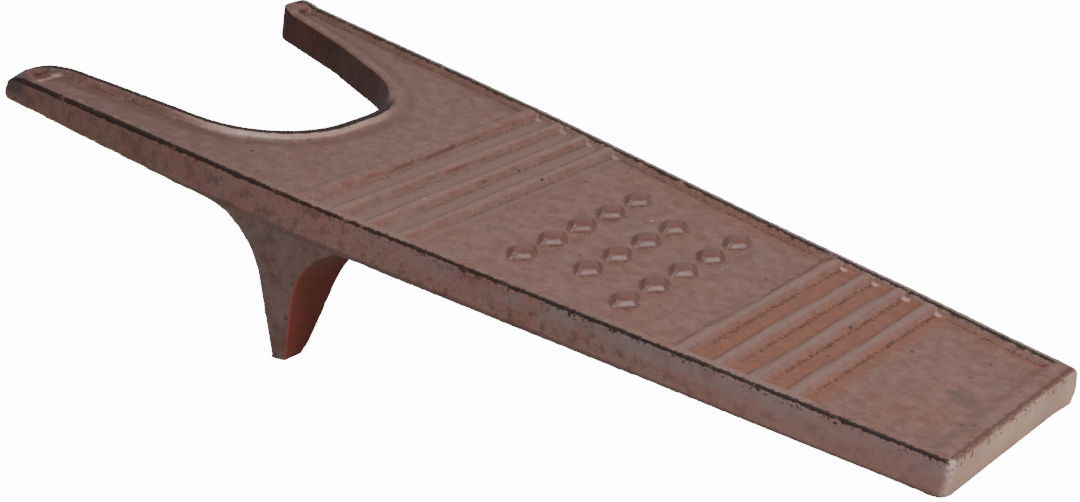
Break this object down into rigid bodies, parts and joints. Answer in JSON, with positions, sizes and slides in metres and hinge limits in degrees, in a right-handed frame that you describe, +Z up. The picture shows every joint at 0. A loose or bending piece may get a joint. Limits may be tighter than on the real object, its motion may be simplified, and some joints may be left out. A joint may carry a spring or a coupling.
{
  "type": "boot jack",
  "caption": "Cast-iron boot jack: a tapering ribbed footboard, tilted up on short legs, with a rounded heel notch between its prongs that grips a boot while the foot is pulled out",
  "frame": {"origin": "on the floor, under the middle of the casting's bounding box, as it stands on its tail end and its feet", "axes": "+X runs towards the fork, the working end, and -X towards the tail end. +Y is the left of a user who faces the fork. +Z is up. The footboard rises towards +X."},
  "size_m": [0.2968, 0.1242, 0.0728],
  "materials": {
    "iron": "weathered red-brown, satin, rubbed dark along its edges"
  },
  "bodies": {
    "root": {"deck_plate": "iron", "left_prong": "iron", "right_prong": "iron", "left_leg": "iron", "right_leg": "iron", "rim": "iron", "front_ridges": "iron", "rear_ridges": "iron", "grip_studs": "iron"}
  },
  "joints": []
}
